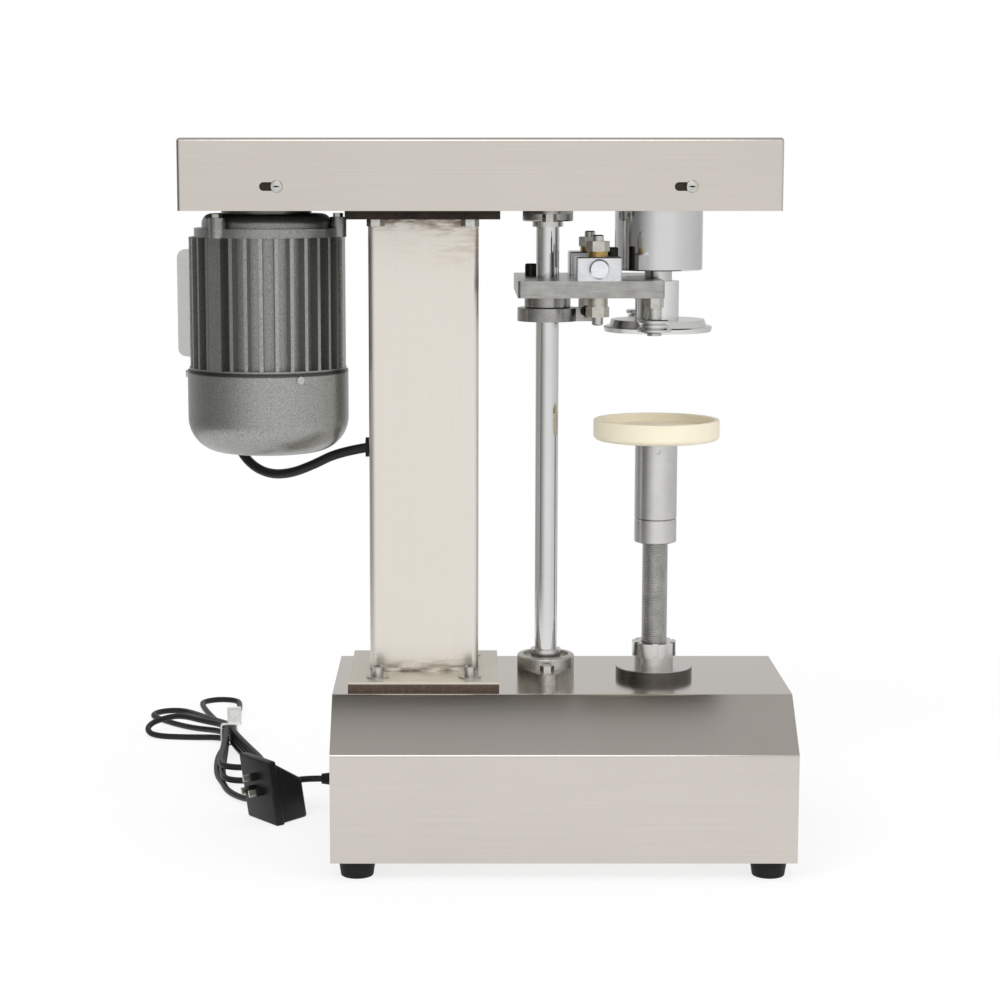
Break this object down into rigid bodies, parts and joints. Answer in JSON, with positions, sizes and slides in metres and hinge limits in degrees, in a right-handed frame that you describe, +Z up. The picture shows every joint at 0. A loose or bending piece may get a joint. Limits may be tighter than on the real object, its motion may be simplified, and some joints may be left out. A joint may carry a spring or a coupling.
{
  "type": "tabletop can seamer",
  "caption": "Tabletop can seamer: a motor drives a seaming chuck by belt, rollers on a swinging yoke arm close the seam, and a spinning tray on a lift screw holds the can.",
  "frame": {"origin": "bottom centre of the machine's box, without its mains cord", "axes": "+X from the motor towards the can table, +Y towards the back, +Z up"},
  "size_m": [0.6709, 0.7003, 0.653],
  "materials": {
    "stainless": "brushed stainless sheet",
    "dark_plate": "dark satin plate",
    "steel": "machined steel",
    "polished": "polished steel",
    "motor_paint": "dark hammertone paint",
    "cast": "plain casting",
    "lamination": "stacked steel laminations",
    "aluminium": "machined aluminium",
    "brass": "plain brass",
    "black_oxide": "black oxide",
    "rubber": "matt black rubber",
    "cream_plastic": "turned cream plastic",
    "grey_plastic": "moulded grey plastic",
    "black_plastic": "black flexible plastic",
    "white_plastic": "white tie"
  },
  "bodies": {
    "frame": {"base_floor": "stainless", "base_shell": "stainless", "belt_cover": "stainless", "belt_deck": "stainless", "cable_glands": "rubber", "column_foot_bolts": "steel", "column_foot_plate": "dark_plate", "column_top_bolts": "steel", "column_top_plate": "dark_plate", "column_tube": "stainless", "cord_hank": "black_plastic", "cord_tie": "white_plastic", "cover_screws": "steel", "deck_bolts": "steel", "drive_belt": "rubber", "fan_hood": "motor_paint", "fan_hood_screws": "steel", "foot_screws": "steel", "lift_guide": "cast", "lower_rod_bearing": "cast", "motor_bearings": "steel", "motor_frame": "motor_paint", "motor_lead": "black_plastic", "motor_shield": "motor_paint", "motor_stator": "lamination", "motor_tie_bolts": "steel", "power_cord": "black_plastic", "power_plug": "black_plastic", "rod_bearing_bolts": "steel", "rubber_feet": "rubber", "spindle_bearings": "steel", "spindle_housing": "polished", "terminal_box": "grey_plastic", "terminal_lid": "grey_plastic", "upper_rod_bearing": "cast"},
    "motor": {"motor_rotor": "steel", "motor_fan": "black_plastic", "motor_pulley": "cast"},
    "spindle": {"spindle": "steel", "spindle_pulley": "cast", "seaming_chuck": "polished"},
    "swing": {"swing_rod": "polished", "rod_bearing_rings": "steel", "yoke_arm": "steel", "arm_hub": "steel", "arm_clamp": "steel", "adjuster_blocks": "aluminium", "lever_bolt": "steel", "adjuster_studs": "steel", "adjuster_nuts": "steel", "adjuster_washers": "brass", "arm_cap_screws": "black_oxide", "roller_pins": "steel"},
    "front_roller": {"front_roller": "polished"},
    "rear_roller": {"rear_roller": "polished"},
    "lift": {"lift_screw": "steel", "stop_collar": "steel", "thrust_ring": "steel"},
    "table": {"can_tray": "cream_plastic", "tray_sleeve": "aluminium"}
  },
  "joints": [
    {"name": "spindle_spin", "type": "hinge", "parent": "frame", "child": "spindle", "pos_m": [0.165, 0, 0.55], "axis": [0, 0, 1], "continuous": true},
    {"name": "motor_spin", "type": "hinge", "parent": "frame", "child": "motor", "pos_m": [-0.192, 0, 0.5], "axis": [0, 0, 1], "continuous": true},
    {"name": "arm_swing", "type": "hinge", "parent": "frame", "child": "swing", "pos_m": [0.064, 0, 0.52], "axis": [0, 0, 1], "range_deg": [-4, 4]},
    {"name": "front_roller_spin", "type": "hinge", "parent": "swing", "child": "front_roller", "pos_m": [0.156, -0.072, 0.486], "axis": [0, 0, 1], "continuous": true},
    {"name": "rear_roller_spin", "type": "hinge", "parent": "swing", "child": "rear_roller", "pos_m": [0.156, 0.072, 0.486], "axis": [0, 0, 1], "continuous": true},
    {"name": "lift", "type": "slide", "parent": "frame", "child": "lift", "axis": [0, 0, 1], "range_m": [0, 0.065]},
    {"name": "table_spin", "type": "hinge", "parent": "lift", "child": "table", "pos_m": [0.165, 0, 0.35], "axis": [0, 0, 1], "continuous": true}
  ],
  "couplings": [
    {"joint": "motor_spin", "follows": "spindle_spin", "ratio": 2.5}
  ]
}
